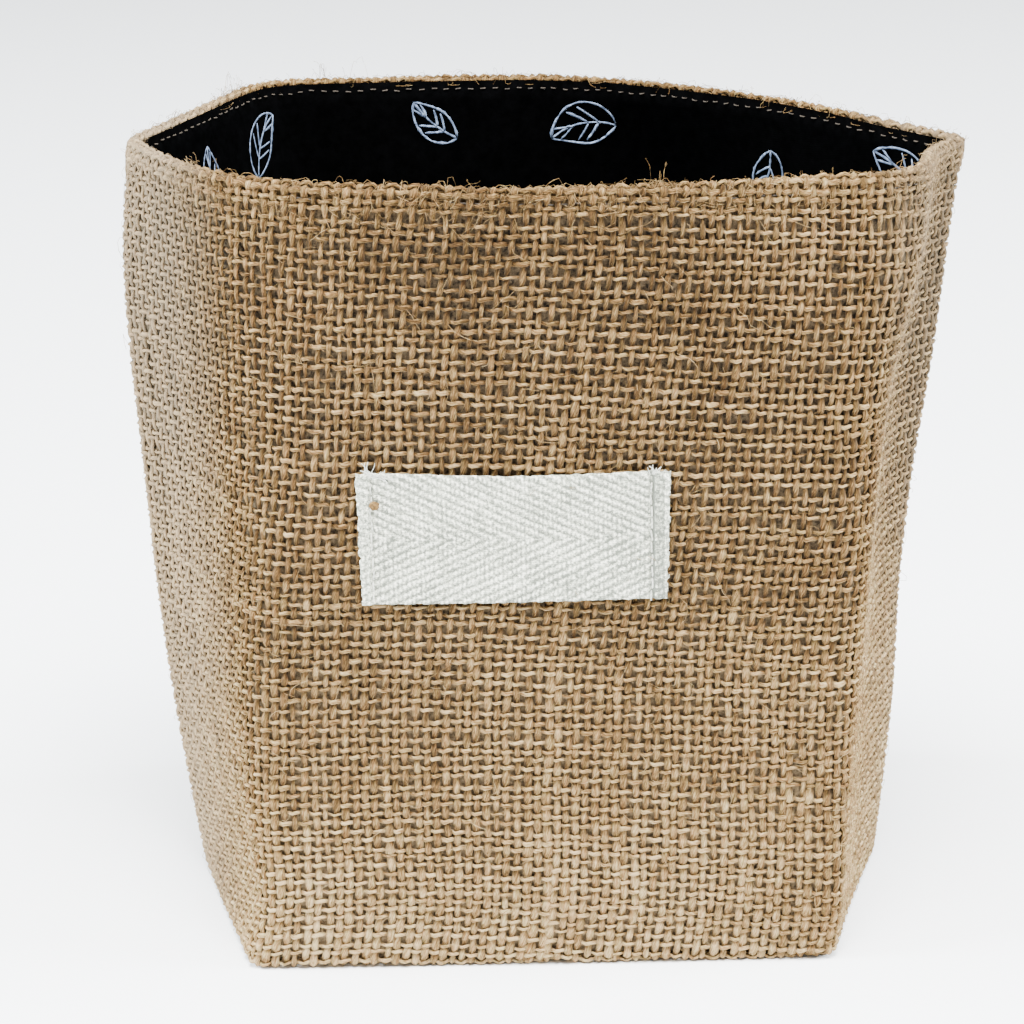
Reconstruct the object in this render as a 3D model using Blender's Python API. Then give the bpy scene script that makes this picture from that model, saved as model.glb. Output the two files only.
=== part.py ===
"""A small burlap storage bag that stands open, with a cotton lining and a tape patch.

Metres, +Z up. The bag's front faces -Y, and the origin is under the middle of the bag, on the
surface that it stands on. The sizes below are in millimetres.
"""

import bmesh
import bpy
import numpy as np

MM = 0.001

# Driving dimensions.
BAG_HEIGHT = 150.0
BURLAP = 2.0
HEM = 3.0
HEM_DEPTH = 10.0
HEM_STEP = 1.0
LINING = 1.0
LINING_DROP = 1.0
GAP = 0.3
EDGE = 0.8
SEAM_Y = -2.3
SEAM_SOFT = 2.0
TUCK_SOFT = 12.0
PANEL_SOFT = 26.0
BOTTOM_FOLD = 1.5
BOTTOM_FOLD_MIDDLE = 0.45

TAPE_WIDTH = 25.0
TAPE_LENGTH = 56.0
TAPE = 1.0
TAPE_FOLDED = 1.7
TAPE_FOLD = 5.0
TAPE_FOLD_STEP = 0.6
TAPE_CENTRE_X = -5.3
TAPE_CENTRE_Z = 85.7

# The wall's horizontal section at each height. Distances to the left and right are measured from
# the middle plane, front and back from the origin. The gusset is drawn in beside its seam: the
# tuck's distance from the middle, and its depth in front of and behind the seam. "soft" is how far
# from its corner a fold starts to round.
COLUMNS = (
    "height", "front", "bow", "fold_l", "fold_r", "soft_l", "soft_r",
    "tuck_l", "tuck_r", "depth_l", "depth_r", "seam_l", "seam_r",
    "back", "back_l", "back_r", "back_soft_l", "back_soft_r",
)
SECTIONS = (
    (0, 50.8, 0.3, 57, 53.5, 3, 1.5, 64.5, 61, 21, 21, 69.5, 67, 50, 54, 52, 8, 7),
    (12, 51, 0.3, 54, 55, 4, 2.5, 63.5, 60.5, 21, 21, 71.5, 68.5, 49.5, 54, 53, 8, 7),
    (35, 50, 1, 54.5, 56, 5.5, 4, 65, 62, 21, 21, 74.5, 70.5, 48, 54.5, 54.5, 8, 7),
    (60, 49, 2.2, 54, 58, 7, 6, 67.5, 63.5, 16, 16, 77, 71.5, 47.5, 54.5, 54, 8, 8),
    (85, 48.5, 3.4, 51.5, 60, 11.5, 8.5, 68.5, 64.5, 13, 12.5, 78.5, 74, 48, 54.5, 50, 10, 12),
    (109, 47, 6.2, 51, 63, 20, 12, 69.3, 66.5, 13, 11, 79.9, 77, 49.5, 54.5, 43, 10, 17),
    (131, 44.5, 9, 51, 68.5, 23, 13, 70.5, 71, 14, 9, 79.7, 78.6, 51, 55.5, 30, 10, 26),
    (150, 42.5, 11.5, 53, 70, 23, 12, 71.5, 74, 15, 8, 77.1, 80.2, 52, 56.5, 14.5, 9, 34),
)
BACK_BOW = 1.8

# The right seam's top end leans towards the front, and with it the gusset around it.
LEAN = 13.0
LEAN_FROM_X = 37.5
LEAN_TO_X = 67.5
LEAN_REACH_Y = 22.0

# Heights of the rings of points up the wall, between the bottom fold and the hem.
RINGS = (11, 23, 36, 50, 64, 78, 92, 104, 115, 125, 133)
CORNER_STEPS = 4
MOST_OF_EDGE = 0.49
TAPE_STEPS = 8
TAPE_ROWS = 4

ON_PLANE = 1e-7
SHARP_ANGLE = 40.0

FINISHES = {
    "burlap": {"colour": (0.48, 0.33, 0.19), "roughness": 0.95},
    "lining": {"colour": (0.012, 0.012, 0.015), "roughness": 0.9},
    "tape": {"colour": (0.76, 0.75, 0.66), "roughness": 0.85},
}


def clear_scene():
    for thing in list(bpy.data.objects):
        bpy.data.objects.remove(thing, do_unlink=True)


def finish(name):
    """The material of one kind of cloth."""
    material = bpy.data.materials.new(name)
    material.use_nodes = True
    shader = material.node_tree.nodes["Principled BSDF"]
    shader.inputs["Base Color"].default_value = (*FINISHES[name]["colour"], 1.0)
    shader.inputs["Roughness"].default_value = FINISHES[name]["roughness"]
    shader.inputs["Metallic"].default_value = 0.0
    return material


def sizes_at(height):
    """The section's sizes at a height, on a smooth curve through the table's rows."""
    rows = np.array(SECTIONS, dtype=float)
    heights = rows[:, 0]
    slopes = np.gradient(rows, heights, axis=0)
    low = int(np.clip(np.searchsorted(heights, height) - 1, 0, len(rows) - 2))
    span = heights[low + 1] - heights[low]
    t = (height - heights[low]) / span
    smooth = t * t * (3 - 2 * t)
    values = (1 - smooth) * rows[low] + smooth * rows[low + 1]
    values = values + span * t * (1 - t) * ((1 - t) * slopes[low] - t * slopes[low + 1])
    return dict(zip(COLUMNS, values))


def corners_at(height):
    """The section's corners, anticlockwise from the left seam, each with its softness."""
    at = sizes_at(height)
    front_middle = (at["fold_r"] - at["fold_l"]) / 2
    back_middle = (at["back_r"] - at["back_l"]) / 2
    return (
        ((-at["seam_l"], SEAM_Y), SEAM_SOFT),
        ((-at["tuck_l"], SEAM_Y - at["depth_l"]), TUCK_SOFT),
        ((-at["fold_l"], -at["front"]), at["soft_l"]),
        ((front_middle, -at["front"] - at["bow"]), PANEL_SOFT),
        ((at["fold_r"], -at["front"]), at["soft_r"]),
        ((at["tuck_r"], SEAM_Y - at["depth_r"]), TUCK_SOFT),
        ((at["seam_r"], SEAM_Y), SEAM_SOFT),
        ((at["tuck_r"], SEAM_Y + at["depth_r"]), TUCK_SOFT),
        ((at["back_r"], at["back"]), at["back_soft_r"]),
        ((back_middle, at["back"] + BACK_BOW), PANEL_SOFT),
        ((-at["back_l"], at["back"]), at["back_soft_l"]),
        ((-at["tuck_l"], SEAM_Y + at["depth_l"]), TUCK_SOFT),
    )


def unit(vector):
    return vector / np.hypot(*vector)


def inset_corner(before, here, after, inset):
    """A corner moved into the bag, so that both of its edges move in by the inset."""
    normals = []
    for edge in (here - before, after - here):
        along = unit(edge)
        normals.append(np.array([-along[1], along[0]]))
    mitre = (normals[0] + normals[1]) / (1 + normals[0] @ normals[1])
    return here + mitre * inset


def along_edge(here, there, soft):
    """The way from a corner to where its rounding starts, short of the middle of the edge."""
    length = np.hypot(*(there - here))
    return (there - here) / length * min(soft, MOST_OF_EDGE * length)


def section(height, inset=0.0):
    """The closed ring of points of the wall at a height, moved in by the inset, with every corner
    rounded by its softness."""
    corners = corners_at(height)
    places = [np.array(corner[0]) for corner in corners]
    count = len(places)
    moved = [
        inset_corner(places[i - 1], places[i], places[(i + 1) % count], inset)
        for i in range(count)
    ]
    ring = []
    for i, (_, soft) in enumerate(corners):
        before, here, after = moved[i - 1], moved[i], moved[(i + 1) % count]
        start = here + along_edge(here, before, soft)
        end = here + along_edge(here, after, soft)
        stop = after + along_edge(after, here, corners[(i + 1) % count][1])
        for t in np.linspace(0, 1, CORNER_STEPS + 1):
            ring.append((1 - t) ** 2 * start + 2 * t * (1 - t) * here + t**2 * end)
        ring.append((end + stop) / 2)
    return [(x * MM, y * MM, height * MM) for x, y in ring]


def loft(loops):
    """One closed body through a row of closed loops of equal counts: the first one is a capped
    ring, which is extruded to each of the others in turn, and the last one is filled."""
    bm = bmesh.new()
    step = bm.verts.layers.int.new("step")
    bmesh.ops.create_circle(bm, cap_ends=True, radius=1, segments=len(loops[0]))
    for i, vert in enumerate(bm.verts):
        vert[step] = i
        vert.co = loops[0][i]
    for loop in loops[1:]:
        ring = [edge for edge in bm.edges if edge.is_boundary]
        grown = bmesh.ops.extrude_edge_only(bm, edges=ring)["geom"]
        for vert in grown:
            if isinstance(vert, bmesh.types.BMVert):
                vert.co = loop[vert[step]]
    bmesh.ops.triangulate(bm, faces=bm.faces, quad_method="SHORT_EDGE")
    bmesh.ops.contextual_create(bm, geom=[edge for edge in bm.edges if edge.is_boundary])
    return face_out(bm)


def face_out(bm):
    """The same body with every face pointing out of the cloth."""
    bmesh.ops.recalc_face_normals(bm, faces=bm.faces)
    if bm.calc_volume(signed=True) < 0:
        bmesh.ops.reverse_faces(bm, faces=bm.faces)
    return bm


def place(bm, name, material, parent):
    """The finished object of one piece of cloth."""
    mesh = bpy.data.meshes.new(name)
    bm.to_mesh(mesh)
    bm.free()
    mesh.materials.append(material)
    mesh.shade_smooth()
    mesh.set_sharp_from_angle(angle=np.radians(SHARP_ANGLE))
    thing = bpy.data.objects.new(name, mesh)
    thing.parent = parent
    bpy.context.scene.collection.objects.link(thing)
    return thing


def outer_bag():
    """The whole burlap shell, before it is parted at its seams."""
    top = BAG_HEIGHT
    hem_end = top - HEM_DEPTH
    middle = BOTTOM_FOLD_MIDDLE
    up = [(0, BOTTOM_FOLD), (middle, middle), (BOTTOM_FOLD, 0)]
    up += [(height, 0) for height in RINGS]
    up += [(hem_end, 0), (top - EDGE, 0), (top, EDGE)]
    down = [(top, HEM - EDGE), (top - EDGE, HEM), (hem_end, HEM), (hem_end - HEM_STEP, BURLAP)]
    down += [(height, BURLAP) for height in reversed(RINGS)]
    down += [(BURLAP, BURLAP)]
    return loft([section(height, inset) for height, inset in up + down])


def lining_bag():
    """The lining, a shell that follows the burlap inside."""
    outer = BURLAP + GAP
    inner = outer + LINING
    beside_hem = HEM + GAP
    top = BAG_HEIGHT - LINING_DROP
    hem_end = BAG_HEIGHT - HEM_DEPTH
    floor = BURLAP + GAP
    up = [(floor, outer)]
    up += [(height, outer) for height in RINGS]
    up += [(hem_end - HEM_STEP, outer), (hem_end, beside_hem), (top, beside_hem)]
    down = [(top, beside_hem + LINING), (hem_end, beside_hem + LINING)]
    down += [(hem_end - HEM_STEP, inner)]
    down += [(height, inner) for height in reversed(RINGS)]
    down += [(floor + LINING, inner)]
    return loft([section(height, inset) for height, inset in up + down])


def half(shell, side):
    """The half of a shell on one side of the seams: -1 keeps the front and 1 the back."""
    bm = shell.copy()
    bmesh.ops.bisect_plane(
        bm,
        geom=bm.verts[:] + bm.edges[:] + bm.faces[:],
        dist=ON_PLANE,
        plane_co=(0, (SEAM_Y + side * GAP / 2) * MM, 0),
        plane_no=(0, -side, 0),
        clear_outer=True,
    )
    open_edges = [edge for edge in bm.edges if edge.is_boundary]
    cut = bmesh.ops.contextual_create(bm, geom=open_edges)["faces"]
    bmesh.ops.triangulate(bm, faces=cut, ngon_method="BEAUTY")
    return face_out(bm)


def leaned(bm):
    """The same body with the upper end of the right gusset drawn towards the front."""
    for vert in bm.verts:
        x, y, height = vert.co / MM
        across = np.clip((x - LEAN_FROM_X) / (LEAN_TO_X - LEAN_FROM_X), 0, 1)
        near = np.exp(-(((y - SEAM_Y) / LEAN_REACH_Y) ** 2))
        share = across**2 * (3 - 2 * across) * near * (height / BAG_HEIGHT) ** 3
        vert.co.y -= LEAN * share * MM
    return bm


def front_y(x, height, outset):
    """How far forward the front panel's face lies at a place on it."""
    ring = [point for point in section(height, -outset) if point[1] < SEAM_Y * MM]
    return np.interp(x * MM, [point[0] for point in ring], [point[1] for point in ring])


def tape_loop(x):
    """The section of the tape across its width, thicker where its end is turned under."""
    from_end = TAPE_LENGTH / 2 - abs(x - TAPE_CENTRE_X)
    thickness = TAPE_FOLDED if from_end < TAPE_FOLD else TAPE
    heights = TAPE_CENTRE_Z + TAPE_WIDTH * np.linspace(-0.5, 0.5, TAPE_ROWS)
    behind = [(x * MM, front_y(x, height, GAP), height * MM) for height in heights]
    before = [
        (x * MM, front_y(x, height, GAP) - thickness * MM, height * MM)
        for height in reversed(heights)
    ]
    return behind + before


def tape_patch():
    """The length of tape on the front, with both ends turned under."""
    half_length = TAPE_LENGTH / 2
    flat = half_length - TAPE_FOLD
    stations = [-half_length, -flat - TAPE_FOLD_STEP]
    stations += list(np.linspace(-flat, flat, TAPE_STEPS))
    stations += [flat + TAPE_FOLD_STEP, half_length]
    return loft([tape_loop(TAPE_CENTRE_X + station) for station in stations])


def main():
    clear_scene()
    burlap = finish("burlap")
    bag = bpy.data.objects.new("burlap_bag", None)
    bpy.context.scene.collection.objects.link(bag)
    shell = outer_bag()
    place(leaned(half(shell, -1)), "burlap_front", burlap, bag)
    place(leaned(half(shell, 1)), "burlap_back", burlap, bag)
    shell.free()
    place(leaned(lining_bag()), "lining", finish("lining"), bag)
    place(tape_patch(), "tape_patch", finish("tape"), bag)


main()
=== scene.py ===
"""Looks of a small burlap bag: woven burlap, a printed cotton lining and a sewn-on tape patch.

Places are in millimetres and in the frame of the CAD: +Z up, the front faces -Y. They become metres
where a piece's mesh is made.
"""

import math

import bmesh
import bpy
import numpy as np
from mathutils import Matrix, Vector

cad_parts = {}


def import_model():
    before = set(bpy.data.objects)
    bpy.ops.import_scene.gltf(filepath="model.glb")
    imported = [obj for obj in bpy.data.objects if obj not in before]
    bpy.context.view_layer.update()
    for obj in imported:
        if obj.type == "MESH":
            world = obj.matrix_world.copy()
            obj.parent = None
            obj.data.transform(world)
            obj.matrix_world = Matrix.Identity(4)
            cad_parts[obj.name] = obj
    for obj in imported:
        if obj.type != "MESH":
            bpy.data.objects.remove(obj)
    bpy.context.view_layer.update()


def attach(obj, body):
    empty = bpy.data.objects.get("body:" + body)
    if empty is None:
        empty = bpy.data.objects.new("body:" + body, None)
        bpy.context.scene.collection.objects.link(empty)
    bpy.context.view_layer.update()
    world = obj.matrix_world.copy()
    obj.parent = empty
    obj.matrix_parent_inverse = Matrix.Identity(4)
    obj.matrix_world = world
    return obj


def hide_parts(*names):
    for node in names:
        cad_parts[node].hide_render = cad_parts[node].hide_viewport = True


MM = 0.001
TAU = 2 * math.pi

# The bag's walls, as the CAD has them.
BAG_HEIGHT = 150.0
SEAM_Y = -2.3
SEAM_SOFT = 2.0
TUCK_SOFT = 12.0
PANEL_SOFT = 26.0
BACK_BOW = 1.8
COLUMNS = (
    "height", "front", "bow", "fold_l", "fold_r", "soft_l", "soft_r",
    "tuck_l", "tuck_r", "depth_l", "depth_r", "seam_l", "seam_r",
    "back", "back_l", "back_r", "back_soft_l", "back_soft_r",
)
SECTIONS = (
    (0, 50.8, 0.3, 57, 53.5, 3, 1.5, 64.5, 61, 21, 21, 69.5, 67, 50, 54, 52, 8, 7),
    (12, 51, 0.3, 54, 55, 4, 2.5, 63.5, 60.5, 21, 21, 71.5, 68.5, 49.5, 54, 53, 8, 7),
    (35, 50, 1, 54.5, 56, 5.5, 4, 65, 62, 21, 21, 74.5, 70.5, 48, 54.5, 54.5, 8, 7),
    (60, 49, 2.2, 54, 58, 7, 6, 67.5, 63.5, 16, 16, 77, 71.5, 47.5, 54.5, 54, 8, 8),
    (85, 48.5, 3.4, 51.5, 60, 11.5, 8.5, 68.5, 64.5, 13, 12.5, 78.5, 74, 48, 54.5, 50, 10, 12),
    (109, 47, 6.2, 51, 63, 20, 12, 69.3, 66.5, 13, 11, 79.9, 77, 49.5, 54.5, 43, 10, 17),
    (131, 44.5, 9, 51, 68.5, 23, 13, 70.5, 71, 14, 9, 79.7, 78.6, 51, 55.5, 30, 10, 26),
    (150, 42.5, 11.5, 53, 70, 23, 12, 71.5, 74, 15, 8, 77.1, 80.2, 52, 56.5, 14.5, 9, 34),
)
LEAN = 13.0
LEAN_FROM_X = 37.5
LEAN_TO_X = 67.5
LEAN_REACH_Y = 22.0

# The burlap. Its middle surface lies inside the wall's face, turns under the base at the bottom,
# and folds over the rim into the bag.
HALF_COLUMNS = 240
HALF_ROUND = 209.0
ROUND_STEPS = 12
CLOTH_DEPTH = 0.75
UNDER_BASE = 3.6
BASE_ROUND = 0.9
RIM_ROUND = 0.8
HEM_INSIDE = 3.0
GRID_STEP = 0.3
NORMAL_BLUR = 3.0

WARPS = 114
WARP_HALF_WIDTH = 0.51
WARP_WIDER_LOW = 1.46
WARP_FINER_HIGH = 0.94
WEFT_HALF_WIDTH = 0.37
WEFT_TILT = 0.12
# Painted light and shade: the wefts paler, as if lit from above, and the warps darker.
WARP_PAINTED_SHADE = -0.03
WEFT_PAINTED_LIGHT = 0.08
YARN_HALF_DEPTH = 0.36
WARP_WAVE = 0.26
WEFT_WAVE = 0.38
# Painted light and shade at the crossings: a yarn paler where it passes over, darker where it
# passes under.
CREST_LIGHT_AND_SHADE = 0.11
# How much whole yarns differ in tone, and how thick their slubs are.
YARN_TONES = 0.045
WARP_SLUBS = 0.35
WEFT_SLUBS = 0.4
WEFT_SPACING = 1.89
WEFT_CROWDING = 1.7
YARN_SWAY = 0.16
YARN_KINKS = 0.09
YARN_UNEVEN = 0.07
WARP_DRIFT = 3.0
WARP_DRIFT_FROM = 0.13
WARP_DRIFT_WIDE = 0.8
WEFT_FALL = 3.4
WEFT_FALL_FROM = 0.3
WEFT_FALL_TO = 0.95
RIM_CROWDING = 0.36
RIM_CROWDING_REACH = 3.6
RIM_SWELL = 0.30
RIM_SWELL_REACH = 4.5
# How far a yarn's highest places lie from the middle of a crossing, in parts of a spacing.
CREST = 0.23
# A dark sheet under the weave: painted shade where it shows between the yarns, and tan for the
# hem's inner layer by the rim.
GAP_SHADE_THICKNESS = 0.3
GAP_SHADE_SUNK = 0.8
GAP_SHADE_RIM_SUNK = 0.5
GAP_SHADE_RIM_REACH = 1.1
GAP_SHADE_FROM = 1.2
GAP_SHADE_COLUMNS = 72
GAP_SHADE_WALL_ROWS = 34
GAP_SHADE_RIM_ROWS = 24
# Painted light and shade on the front: a lit crease, a lit corner where the front turns into the
# gusset, paler places by the tape and the foot, and shaded hollows. Each gives across, height, its
# reach both ways, and how much.
LIT_CREASE = (0, 128, 4, 24, 0.14)
LIT_CORNER = (46, 141, 16, 12, 0.26)
BY_TAPE = (22, 111, 10, 9, 0.12)
FOOT = (-44, 10, 12, 18, 0.20)
FOOT_EDGE = (-18, 4, 55, 20, 0.11)
SHADED_HOLLOW_HIGH = (-23, 135, 11, 9, -0.11)
SHADED_HOLLOW_LOW = (-35, 111, 6, 9, -0.13)
SHADES = (LIT_CREASE, LIT_CORNER, BY_TAPE, FOOT, FOOT_EDGE, SHADED_HOLLOW_HIGH, SHADED_HOLLOW_LOW)
SEAM_DIP = 0.75
SEAM_DIP_REACH = 1.2

BASE_HEIGHT = 1.05
BASE_INSET = 2.0
BASE_WARPS = 66
BASE_ROWS = 50
BASE_YARN_TONES = 0.08
BASE_SLUBS = 0.3
BASE_GAP_SHADE_SIDE = 24

# Loose fibres, and the running stitches round the rim.
FACE_FIBRES = 1900
BY_RIM_SHARE = 0.36
RIM_FIBRES = 460
FIBRE_TOP = 155.5
STITCH_SPACING = 2.5
# Each row's stitch length, half width, height off the cloth and drop from the edge.
INNER_STITCH = (1.35, 0.14, -0.30, 1.6)
OUTER_STITCH = (1.5, 0.16, 0.12, 3.0)

# The lining: its middle surface, and the drop of its top edge under the rim.
LINING_INSET = 3.25
LINING_TOP = 149.0
LINING_FLOOR = 3.0
LINING_THICKNESS = 0.4
LINING_COLUMNS = 180
LINING_WALL_ROWS = 36
LINING_FLOOR_ROWS = 7
LINING_ROUNDED = 4.0
PRINT_LIFT = LINING_THICKNESS / 2 + 0.12
PRINT_HALF_WIDTH = 0.30
PRINT_HALF_DEPTH = 0.05
LEAF_COLUMNS = 12
LEAF_ROWS = 5
LEAF_SPACING = 30.0
LEAF_TOP = 13.0
LEAF_STEPS = 21
VEIN_STEPS = 6
VEINS_FROM = (5, 8, 13)
VEIN_REACH = 5
FLOOR_LEAVES = (
    (-36, -28), (-8, -34), (24, -26), (-24, -2), (6, 0), (36, 4), (-34, 27), (-4, 31), (26, 30),
)

# The tape patch.
TAPE_CENTRE_X = -5.3
TAPE_CENTRE_Z = 85.7
TAPE_LENGTH = 56.0
TAPE_WIDTH = 25.0
TAPE_THICKNESS = 0.6
TAPE_LIFT = 1.35
TAPE_RELIEF = 0.32
TAPE_STITCH_SPACING = 2.3
TAPE_THREAD = 0.17
TAPE_FOLD_LEFT = 2.4
TAPE_FOLD_RIGHT = 3.1
TAPE_RIB = 1.51
TAPE_SLOPE = 0.459
TAPE_PICK = 56 / 68
TAPE_FINE = 0.378
TAPE_DRAWN_LEFT = 0.7
TAPE_DRAWN_RIGHT = 1.3
# Threads frayed from its upper edge: across, spread, length, which way they lean, and how many.
TAPE_FRAYS = (
    (-26.2, 0.5, 3.4, 0.9, 12),
    (-25.5, 0.4, 2.6, 2.0, 6),
    (-23.8, 0.9, 3.2, 0.1, 14),
    (25.0, 0.4, 2.6, 1.6, 9),
    (26.3, 0.5, 1.8, 1.2, 5),
)
FLECK_X = -24.7
FLECK_Z = 6.6
FLECK_LIFT = 0.8
TAPE_COLUMNS = 204
TAPE_ROWS = 84

# The seeds of the random draws.
FRONT_SEED = 100
BACK_SEED = 200
BASE_SEED = 300
LINING_SEED = 400
INNER_STITCH_SEED = 500
OUTER_STITCH_SEED = 501
RIM_FIBRE_SEED = 91
SEAM_SEED = 77
PRINT_SEED = 58
TAPE_SEED = 66
TAPE_THREAD_SEED = 67

# The camera that took the photo, in metres, degrees and millimetres of lens.
CAMERA_PLACE = (-0.0047, -0.5793, 0.2726)
CAMERA_DOWN = 19.0
CAMERA_TURN = -0.09
CAMERA_ROLL = -1.11
CAMERA_LENS = 109.7

# The stage, in metres: each lamp's name, place, height it aims at, power and colour.
FLOOR_SIZE = 3.0
ROOM_LIGHT = 0.6
LAMP_SIZE = 0.7
WHITE = (1.0, 1.0, 1.0)
COOL_WHITE = (0.84, 0.93, 1.0)
LAMPS = (
    ("overhead", (0.05, -0.45, 1.2), 0.05, 85.0, WHITE),
    ("left_side", (-1.2, -0.1, 0.7), 0.07, 81.0, COOL_WHITE),
    ("right_side", (1.2, -0.1, 0.7), 0.07, 70.0, COOL_WHITE),
)

# Jute: how far its fibres wind, and its shades from dark to light.
JUTE_TWIST = 0.28
JUTE_SHADES = (
    (0.10, (0.026, 0.013, 0.004)),
    (0.40, (0.085, 0.046, 0.015)),
    (0.62, (0.185, 0.110, 0.042)),
    (0.90, (0.300, 0.208, 0.101)),
    (1.00, (0.385, 0.277, 0.148)),
)


def sizes_at(height):
    """The wall's sizes at a height, on a smooth curve through the table's rows."""
    rows = np.array(SECTIONS, dtype=float)
    heights = rows[:, 0]
    slopes = np.gradient(rows, heights, axis=0)
    low = int(np.clip(np.searchsorted(heights, height) - 1, 0, len(rows) - 2))
    span = heights[low + 1] - heights[low]
    t = (height - heights[low]) / span
    smooth = t * t * (3 - 2 * t)
    values = (1 - smooth) * rows[low] + smooth * rows[low + 1]
    values = values + span * t * (1 - t) * ((1 - t) * slopes[low] - t * slopes[low + 1])
    return dict(zip(COLUMNS, values))


def corners_at(height):
    """The wall's corners, anticlockwise from the left seam, each with its softness."""
    at = sizes_at(height)
    front_middle = (at["fold_r"] - at["fold_l"]) / 2
    back_middle = (at["back_r"] - at["back_l"]) / 2
    return (
        ((-at["seam_l"], SEAM_Y), SEAM_SOFT),
        ((-at["tuck_l"], SEAM_Y - at["depth_l"]), TUCK_SOFT),
        ((-at["fold_l"], -at["front"]), at["soft_l"]),
        ((front_middle, -at["front"] - at["bow"]), PANEL_SOFT),
        ((at["fold_r"], -at["front"]), at["soft_r"]),
        ((at["tuck_r"], SEAM_Y - at["depth_r"]), TUCK_SOFT),
        ((at["seam_r"], SEAM_Y), SEAM_SOFT),
        ((at["tuck_r"], SEAM_Y + at["depth_r"]), TUCK_SOFT),
        ((at["back_r"], at["back"]), at["back_soft_r"]),
        ((back_middle, at["back"] + BACK_BOW), PANEL_SOFT),
        ((-at["back_l"], at["back"]), at["back_soft_l"]),
        ((-at["tuck_l"], SEAM_Y + at["depth_l"]), TUCK_SOFT),
    )


def bell(distance, reach, power=2):
    """1 in the middle, and falling to 0 past a reach."""
    return np.exp(-((distance / reach) ** power))


def unit(vectors):
    return vectors / np.linalg.norm(vectors, axis=-1, keepdims=True)


def evenly(line, count):
    """A line's points at even distances along it."""
    lengths = np.linalg.norm(np.diff(line, axis=0), axis=1)
    way = np.concatenate([[0], np.cumsum(lengths)])
    at = np.linspace(0, way[-1], count)
    return np.stack([np.interp(at, way, line[:, k]) for k in range(line.shape[1])], axis=1)


def outline(height):
    """The wall's outline at a height: evenly from the left seam round the front to the right seam,
    and evenly back round the rear."""
    corners = corners_at(min(max(height, 0.0), BAG_HEIGHT))
    places = [np.array(place) for place, _ in corners]
    t = np.linspace(0, 1, ROUND_STEPS + 1)[:, None]
    ring = []
    for i, (here, (_, soft)) in enumerate(zip(places, corners)):
        ends = []
        for there in (places[i - 1], places[(i + 1) % len(places)]):
            length = np.linalg.norm(there - here)
            ends.append(here + (there - here) / length * min(soft, 0.49 * length))
        ring.append((1 - t) ** 2 * ends[0] + 2 * t * (1 - t) * here + t**2 * ends[1])
    ring = np.concatenate(ring)
    left = ROUND_STEPS // 2
    right = left + 6 * (ROUND_STEPS + 1)
    front = evenly(ring[left : right + 1], HALF_COLUMNS + 1)
    back = evenly(np.concatenate([ring[right:], ring[: left + 1]]), HALF_COLUMNS + 1)
    return np.concatenate([front[:-1], back[:-1]])


def blurred(values, reach, axis, wrap):
    """Values smoothed along one axis by a bell of the given reach, in steps."""
    size = int(math.ceil(3 * reach))
    weights = np.exp(-0.5 * (np.arange(-size, size + 1) / reach) ** 2)
    weights /= weights.sum()
    values = np.moveaxis(values, axis, 0)
    pad = [(size, size)] + [(0, 0)] * (values.ndim - 1)
    padded = np.pad(values, pad, mode="wrap" if wrap else "reflect")
    out = sum(w * padded[k : k + len(values)] for k, w in enumerate(weights))
    return np.moveaxis(out, 0, axis)


def soft_noise(seed, shape, reach, wrap=(False, False)):
    """A smooth random field of about unit spread. reach is its blur along each axis, in steps."""
    rng = np.random.default_rng(seed)
    extra = [int(2 * r) + 2 for r in reach]
    big = [n if w else n + 2 * e for n, e, w in zip(shape, extra, wrap)]
    field = rng.standard_normal(big)
    for axis in range(2):
        if reach[axis] > 0:
            fits = min(reach[axis], (big[axis] - 1) / 3.001)
            field = blurred(field, fits, axis, wrap[axis])
    field = field / max(field.std(), 1e-6)
    cut = [slice(0, n) if w else slice(e, e + n) for n, e, w in zip(shape, extra, wrap)]
    return field[tuple(cut)]


def leaned(points):
    """Points with the upper end of the right gusset drawn towards the front."""
    x, y, height = points[..., 0], points[..., 1], points[..., 2]
    across = np.clip((x - LEAN_FROM_X) / (LEAN_TO_X - LEAN_FROM_X), 0, 1)
    near = bell(y - SEAM_Y, LEAN_REACH_Y)
    points = points.copy()
    points[..., 1] -= LEAN * across**2 * (3 - 2 * across) * near * (height / BAG_HEIGHT) ** 3
    return points


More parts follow.
